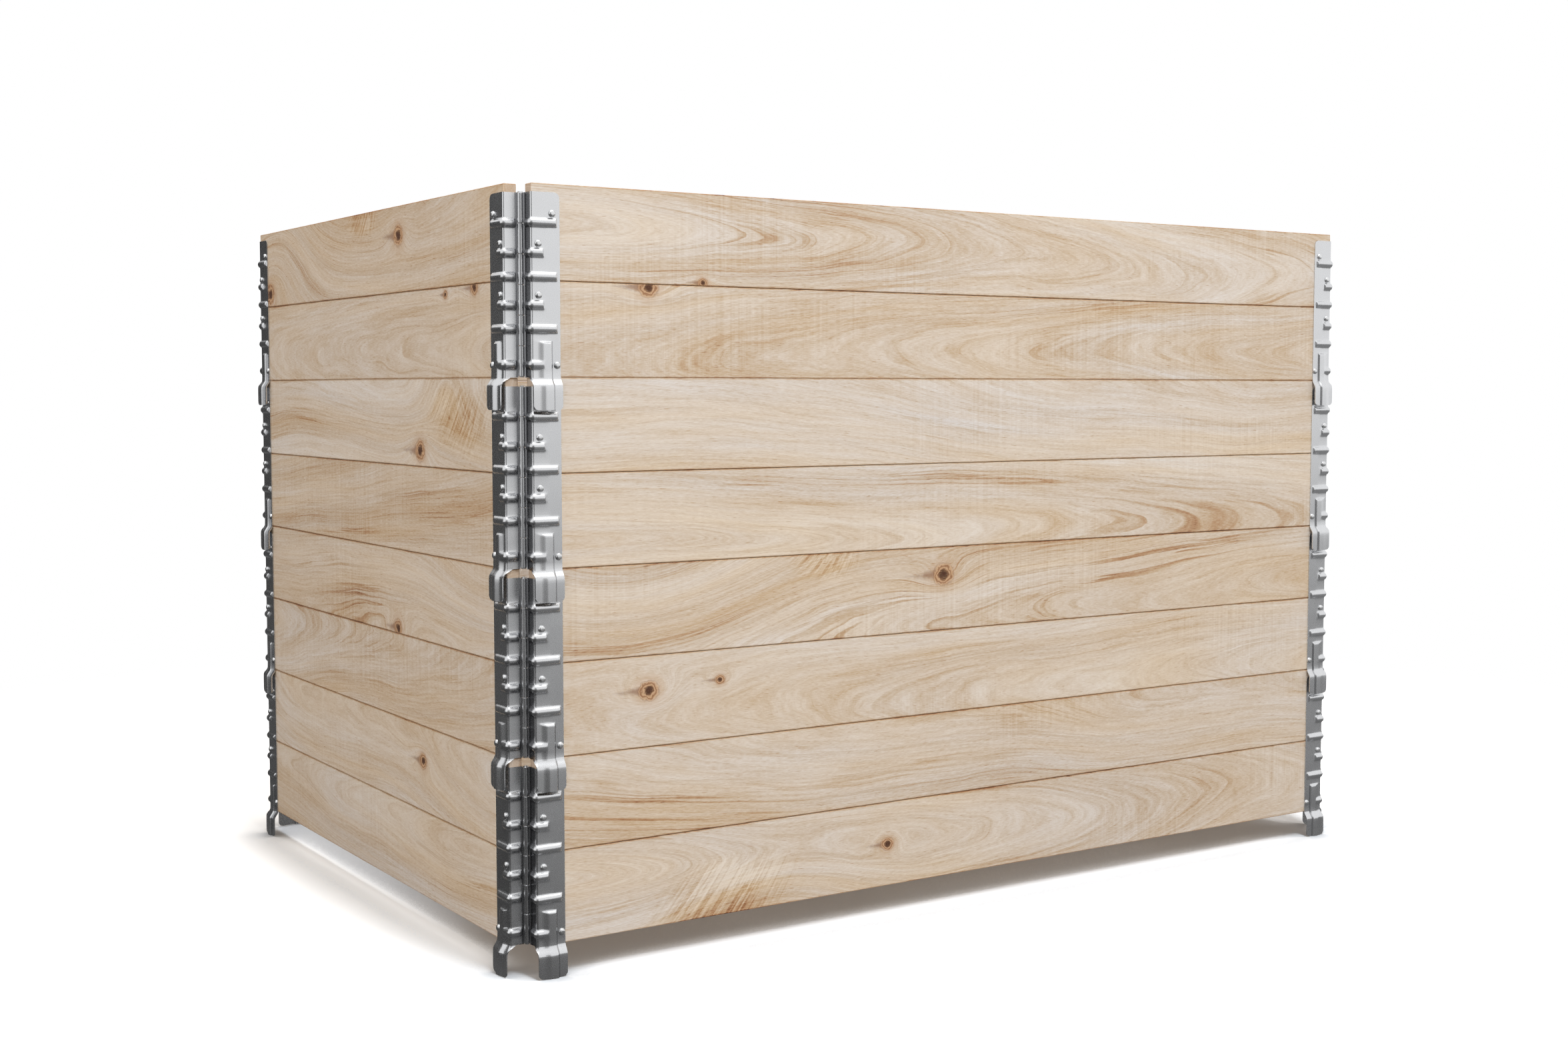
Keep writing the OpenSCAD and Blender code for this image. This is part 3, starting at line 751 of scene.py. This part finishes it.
def zinc_grain():
    """A group for zinc-coated steel: fine mottling of its tone, its roughness and its height."""
    tree = bpy.data.node_groups.new("zinc_grain", "ShaderNodeTree")
    for name in ("Grain size", "Tone depth", "Roughness", "Roughness depth"):
        tree.interface.new_socket(name, in_out="INPUT", socket_type="NodeSocketFloat")
    tree.interface.new_socket("Colour", in_out="INPUT", socket_type="NodeSocketColor")
    tree.interface.new_socket("Colour", in_out="OUTPUT", socket_type="NodeSocketColor")
    tree.interface.new_socket("Roughness", in_out="OUTPUT", socket_type="NodeSocketFloat")
    tree.interface.new_socket("Height", in_out="OUTPUT", socket_type="NodeSocketFloat")
    given = tree.nodes.new("NodeGroupInput")
    result = tree.nodes.new("NodeGroupOutput")
    size, tone_depth, roughness, roughness_depth = [Field(tree, output) for output in given.outputs[:4]]
    places = tree.nodes.new("ShaderNodeTexCoord")
    x, y, z = [place / size for place in parts(tree, places.outputs["Object"])]
    fine = noise(tree, x, y, z, 3.0, 0.6)
    cloud = noise(tree, x * 0.06, y * 0.06, z * 0.06, 3.0, 0.55)
    mottle = fine * 0.6 + cloud * 0.4 - 0.5
    grey = tree.nodes.new("ShaderNodeCombineColor")
    for socket in grey.inputs[:3]:
        put(tree, socket, mottle * tone_depth + 1.0)
    mottled = blend(tree, 1.0, given.outputs["Colour"], grey.outputs[0], "MULTIPLY")
    put(tree, result.inputs["Colour"], mottled)
    put(tree, result.inputs["Roughness"], mottle * roughness_depth + roughness)
    put(tree, result.inputs["Height"], fine)
    return tree


zinc = zinc_grain()


def steel_material(name, colour, roughness, grain_size, tone_depth, relief):
    """Zinc-coated steel with the shared grain, darkened by painted shade where the mesh stores it."""
    material, tree, shader = new_material(name, roughness, 1.0)
    group = tree.nodes.new("ShaderNodeGroup")
    group.node_tree = zinc
    group.inputs["Colour"].default_value = colour
    group.inputs["Grain size"].default_value = grain_size
    group.inputs["Tone depth"].default_value = tone_depth
    group.inputs["Roughness"].default_value = roughness
    group.inputs["Roughness depth"].default_value = 0.08
    # Painted shade: the stored share darkens the colour towards the shade's grey.
    colour = blend(tree, stored(tree, "painted_shade")[0], group.outputs["Colour"], SHADE_TINT, "MULTIPLY")
    put(tree, shader.inputs["Base Color"], colour)
    put(tree, shader.inputs["Roughness"], group.outputs["Roughness"])
    bump = tree.nodes.new("ShaderNodeBump")
    bump.inputs["Strength"].default_value = 0.12
    bump.inputs["Distance"].default_value = relief
    put(tree, bump.inputs["Height"], group.outputs["Height"])
    put(tree, shader.inputs["Normal"], bump.outputs["Normal"])
    return material


leaf_steel = steel_material("galvanised_sheet", linear(219, 220, 222), roughness=0.27, grain_size=0.0012,
                            tone_depth=0.20, relief=0.00002)
leaf_patterns = {}
for first in (0, 1):
    for mirror in (False, True):
        leaf_patterns[first, mirror] = leaf_pattern(f"leaf_{first}_{int(mirror)}", first, mirror)
for side in SIDE_TURN:
    for collar in range(1, COLLARS + 1):
        length, reach, base = panel_frame(collar, side)[:3]
        first = 0 if side in ("front", "back") else 1
        corner = length / 2 + (BEND_FACE + SHEET) * MM
        places = [to_world(side, reach, (end * corner, 0.0, base)) for end in (-1, 1)]
        leaves = spread_pieces(f"collar_{collar}_{side}_pressed_leaves", places, SIDE_TURN[side],
                               [False, True], leaf_patterns[first, False], leaf_patterns[first, True],
                               leaf_steel, {})
        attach(leaves, f"collar_{collar}_{side}")
        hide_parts(f"collar_{collar}_{side}_hinge_leaves")
for pattern in leaf_patterns.values():
    bpy.data.objects.remove(pattern)


# Rivets: zinc-plated steel, four to a leaf. A domed head with a small flat sits on the leaf, the shank goes
# through leaf and board, and the far end is closed over on the board's inner face.
RIVET_HEAD = 3.8
RIVET_HEAD_HEIGHT = 2.3
RIVET_FLAT = 1.3
RIVET_SHANK = 2.5
RIVET_TAIL = 3.5
RIVET_TAIL_HEIGHT = 1.2
RIVET_TAIL_EDGE = 0.65
RIVET_SIDES = 18
RIVET_SHARP_EDGE = math.radians(35)
# Places of the rivets on a leaf: distance from the bend, and height above the collar's base.
RIVETS = [(23.1, 162.2), (7.8, 132.4), (7.8, 81.6), (27.6, 12.3)]


def rivet_pattern(thickness):
    """One rivet along Y: head outside the leaf, tail inside the board."""
    face = -SHEET
    inside = thickness / MM
    profile = [(0.0, face - RIVET_HEAD_HEIGHT), (RIVET_FLAT, face - RIVET_HEAD_HEIGHT)]
    for part in range(1, 5):
        angle = math.pi / 2 * part / 4
        radius = RIVET_FLAT + (RIVET_HEAD - RIVET_FLAT) * math.sin(angle)
        profile.append((radius, face - RIVET_HEAD_HEIGHT * math.cos(angle) - 0.02))
    profile += [(RIVET_SHANK, face + 0.3), (RIVET_SHANK, inside - 0.1), (RIVET_TAIL, inside),
                (RIVET_TAIL, inside + RIVET_TAIL_HEIGHT * RIVET_TAIL_EDGE),
                (RIVET_TAIL - 0.5, inside + RIVET_TAIL_HEIGHT), (0.0, inside + RIVET_TAIL_HEIGHT)]
    form = bmesh.new()
    ring = [form.verts.new((radius * MM, y * MM, 0.0)) for radius, y in profile]
    edges = [form.edges.new(pair) for pair in zip(ring, ring[1:])]
    bmesh.ops.spin(form, geom=ring + edges, cent=(0, 0, 0), axis=(0, 1, 0), angle=2 * math.pi,
                   steps=RIVET_SIDES)
    bmesh.ops.remove_doubles(form, verts=form.verts, dist=1e-6)
    bmesh.ops.recalc_face_normals(form, faces=form.faces)
    for round_face in form.faces:
        round_face.smooth = True
    mesh = bpy.data.meshes.new("rivet")
    form.to_mesh(mesh)
    form.free()
    mesh.set_sharp_from_angle(angle=RIVET_SHARP_EDGE)
    return new_object("rivet", mesh)


rivet_steel = steel_material("plated_rivet", linear(226, 227, 228), roughness=0.26, grain_size=0.0008,
                             tone_depth=0.16, relief=0.00003)
one_rivet = rivet_pattern(panel_frame(1, "front")[4])
for side in SIDE_TURN:
    for collar in range(1, COLLARS + 1):
        length, reach, base = panel_frame(collar, side)[:3]
        bend = length / 2 + SHEET * MM
        places = []
        for end in (-1, 1):
            for offset, up in RIVETS:
                places.append(to_world(side, reach, (end * (bend - offset * MM), 0.0, base + up * MM)))
        rivets = spread_pieces(f"collar_{collar}_{side}_domed_rivets", places, SIDE_TURN[side],
                               [False] * len(places), one_rivet, None, rivet_steel, {})
        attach(rivets, f"collar_{collar}_{side}")
        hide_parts(f"collar_{collar}_{side}_rivets")
bpy.data.objects.remove(one_rivet)


# Hinge pins: drawn steel rod through the knuckles of each corner, headed over at both ends so that it can't
# drop out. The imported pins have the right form, so they stay and take the finish of zinc-plated rod.
pin_steel = steel_material("plated_pin", linear(196, 197, 198), roughness=0.30, grain_size=0.0008,
                           tone_depth=0.18, relief=0.00003)
for collar in range(1, COLLARS + 1):
    for side in ("front", "back"):
        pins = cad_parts[f"collar_{collar}_{side}_hinge_pins"]
        pins.data.materials.clear()
        pins.data.materials.append(pin_steel)


# Studio: a pale floor that fades into a white surround, with painted shade where the part hides the sky and
# a painted glow where it is open, a soft key lamp high in front and a weak fill at the left. Cards that show
# only in reflections give the steel its dark left faces, its darker lower half and its bright rib tops.
FLOOR_SIZE = 14.0
# The floor fades into the surround between these distances from the middle.
FLOOR_NEAR = 1.1
FLOOR_FAR = 2.0
# Floor colours the camera sees: painted shade where the sky is hidden, and the open floor.
FLOOR_SHADED = (0.64, 0.66, 0.685, 1.0)
FLOOR_OPEN = (0.93, 0.93, 0.93, 1.0)
FLOOR_BOUNCE = (0.55, 0.55, 0.55, 1.0)
FLOOR_PAINTED_GLOW = 0.60
# The floor's painted shade ends as this share of the sky opens, past what is within a wide and a near reach.
WIDE_REACH = 1.0
WIDE_OPEN = (0.46, 0.57)
NEAR_REACH = 0.12
NEAR_OPEN = (0.55, 1.0)


def plate(name, width, height, place, turn):
    """A flat rectangle that belongs to the studio."""
    form = bmesh.new()
    bmesh.ops.create_grid(form, x_segments=1, y_segments=1, size=0.5)
    bmesh.ops.scale(form, vec=(width, height, 1.0), verts=form.verts)
    mesh = bpy.data.meshes.new(name)
    form.to_mesh(mesh)
    form.free()
    thing = new_object(name, mesh)
    thing.location = place
    thing.rotation_euler = turn
    return thing


def openness(tree, reach):
    """How open a place of the floor is to the sky, past what stands within a reach."""
    sky = tree.nodes.new("ShaderNodeAmbientOcclusion")
    sky.samples = 16
    sky.inputs["Distance"].default_value = reach
    return Field(tree, sky.outputs["AO"])


def floor_material():
    """Matt floor with real shadows; to the camera it is also grey with painted shade where the part hides
    the sky and has a painted glow where the sky is open, and it brightens into the white of the surround.
    """
    material, tree, shader = new_material("studio_floor", 0.9, 0.0)
    shader.inputs["Specular IOR Level"].default_value = 0.0
    seen = Field(tree, tree.nodes.new("ShaderNodeLightPath").outputs["Is Camera Ray"])
    x, y, _ = parts(tree, tree.nodes.new("ShaderNodeTexCoord").outputs["Object"])
    surround = tree.nodes.new("ShaderNodeEmission")
    put(tree, surround.inputs["Strength"], seen * 0.4 + 0.6)
    mix = tree.nodes.new("ShaderNodeMixShader")
    put(tree, mix.inputs[0], ease((x * x + y * y).calc("SQRT"), FLOOR_NEAR, FLOOR_FAR))
    # Painted shade and glow: the share of open sky, which the camera's floor colour and glow follow.
    beside = ease(openness(tree, WIDE_REACH), *WIDE_OPEN) * ease(openness(tree, NEAR_REACH), *NEAR_OPEN)
    seen_colour = blend(tree, beside, FLOOR_SHADED, FLOOR_OPEN)
    put(tree, shader.inputs["Base Color"], blend(tree, seen, FLOOR_BOUNCE, seen_colour))
    # A painted glow that only the camera sees, where the floor is open to the sky.
    painted_glow = tree.nodes.new("ShaderNodeEmission")
    put(tree, painted_glow.inputs["Strength"], beside * seen * FLOOR_PAINTED_GLOW)
    added = tree.nodes.new("ShaderNodeAddShader")
    tree.links.new(shader.outputs[0], added.inputs[0])
    tree.links.new(painted_glow.outputs[0], added.inputs[1])
    tree.links.new(added.outputs[0], mix.inputs[1])
    tree.links.new(surround.outputs[0], mix.inputs[2])
    tree.links.new(mix.outputs[0], tree.nodes["Material Output"].inputs["Surface"])
    return material


def card_material(name, left_level, level, middle_share):
    """A card of even grey: one level at its left, one elsewhere, and a share of it round its middle."""
    material, tree, _ = new_material(name, 1.0, 0.0)
    glow = tree.nodes.new("ShaderNodeEmission")
    x, y, _ = parts(tree, tree.nodes.new("ShaderNodeTexCoord").outputs["Object"])
    middle = ease((x * x + y * y).calc("SQRT"), 0.8, 1.2, middle_share, 1.0)
    put(tree, glow.inputs["Strength"], ease(x, -0.75, -0.40, left_level, level) * middle)
    tree.links.new(glow.outputs[0], tree.nodes["Material Output"].inputs["Surface"])
    return material


floor = plate("studio_floor", FLOOR_SIZE, FLOOR_SIZE, (0.0, 0.0, -0.0005), (0.0, 0.0, 0.0))
floor.data.materials.append(floor_material())
LEVEL = (0.0, 0.0, 0.0)
UPRIGHT_LEFT = (math.radians(90), 0.0, math.radians(20))
UPRIGHT_FRONT = (math.radians(90), 0.0, math.radians(-35))
# Cards: name, width, height, place and turn, then the grey at the left, the grey elsewhere and the share of
# it that the middle has.
CARDS = [
    ("low_card", 12.0, 12.0, (0.0, 0.0, -0.0002), LEVEL, 0.07, 0.25, 0.68),
    ("left_card", 3.4, 3.0, (-1.83, 2.98, 0.4), UPRIGHT_LEFT, 0.05, 0.05, 1.0),
    ("camera_card", 3.6, 3.0, (-2.55, -3.19, 0.9), UPRIGHT_FRONT, 0.28, 0.28, 1.0),
    ("high_card", 3.0, 3.0, (0.0, -0.6, 3.4), LEVEL, 2.6, 2.6, 1.0),
]
for name, width, height, place, turn, left_level, level, middle_share in CARDS:
    card = plate(name, width, height, place, turn)
    card.data.materials.append(card_material(name, left_level, level, middle_share))
    card.visible_camera = False
    card.visible_diffuse = False
    card.visible_shadow = False
    card.visible_transmission = False


def lamp(name, size, power, colour, place, aim):
    """A soft lamp that points at a place. The steel reflects the cards instead of the lamps."""
    light = bpy.data.lights.new(name, "AREA")
    light.shape = "RECTANGLE"
    light.size, light.size_y = size
    light.energy = power
    light.color = colour
    thing = new_object(name, light)
    thing.location = place
    toward = [end - start for start, end in zip(place, aim)]
    tilt = math.atan2(math.hypot(*toward[:2]), -toward[2])
    thing.rotation_euler = (tilt, 0.0, math.atan2(-toward[0], toward[1]))
    thing.visible_glossy = False


lamp("key_lamp", (0.8, 2.4), 175.0, (0.925, 0.985, 1.05), (-0.25, -2.3, 4.6), (0.0, -0.4, 0.4))
lamp("fill_lamp", (1.0, 1.0), 8.0, (1.0, 0.95, 0.88), (-2.2, -0.3, 1.9), (-0.6, 0.0, 0.5))

# The surround: warm light that weakens towards the zenith, and plain white where it is seen or mirrored.
world = bpy.data.worlds.new("studio_surround")
bpy.context.scene.world = world
world.use_nodes = True
surround_tree = world.node_tree
surround_tree.nodes.clear()
ambient = surround_tree.nodes.new("ShaderNodeBackground")
ambient.inputs["Color"].default_value = (1.0, 0.91, 0.825, 1.0)
_, _, rise = parts(surround_tree, surround_tree.nodes.new("ShaderNodeTexCoord").outputs["Generated"])
put(surround_tree, ambient.inputs["Strength"], rise * rise * -0.52 + 0.76)
white = surround_tree.nodes.new("ShaderNodeBackground")
white.inputs["Color"].default_value = (1.0, 1.0, 1.0, 1.0)
white.inputs["Strength"].default_value = 1.0
path = surround_tree.nodes.new("ShaderNodeLightPath")
seen_or_mirrored = Field(surround_tree, path.outputs["Is Camera Ray"])
for kind in ("Is Glossy Ray", "Is Transmission Ray"):
    seen_or_mirrored = seen_or_mirrored.calc("MAXIMUM", path.outputs[kind])
both = surround_tree.nodes.new("ShaderNodeMixShader")
put(surround_tree, both.inputs[0], seen_or_mirrored)
surround_tree.links.new(ambient.outputs[0], both.inputs[1])
surround_tree.links.new(white.outputs[0], both.inputs[2])
surround_out = surround_tree.nodes.new("ShaderNodeOutputWorld")
surround_tree.links.new(both.outputs[0], surround_out.inputs["Surface"])

# The camera stands where a fit to the board seams and corner edges puts it.
camera = bpy.data.cameras.new("photo_camera")
camera.sensor_fit = "HORIZONTAL"
camera.sensor_width = 36.0
camera.lens = 43.468
camera.clip_end = 60.0
camera.dof.use_dof = False
viewpoint = new_object("photo_camera", camera)
viewpoint.location = (-1.40167, -2.11335, 0.59633)
viewpoint.rotation_euler = (math.pi / 2 - 0.07005, 0.0, -0.57892)
bpy.context.scene.camera = viewpoint
bpy.context.scene.view_settings.view_transform = "Standard"
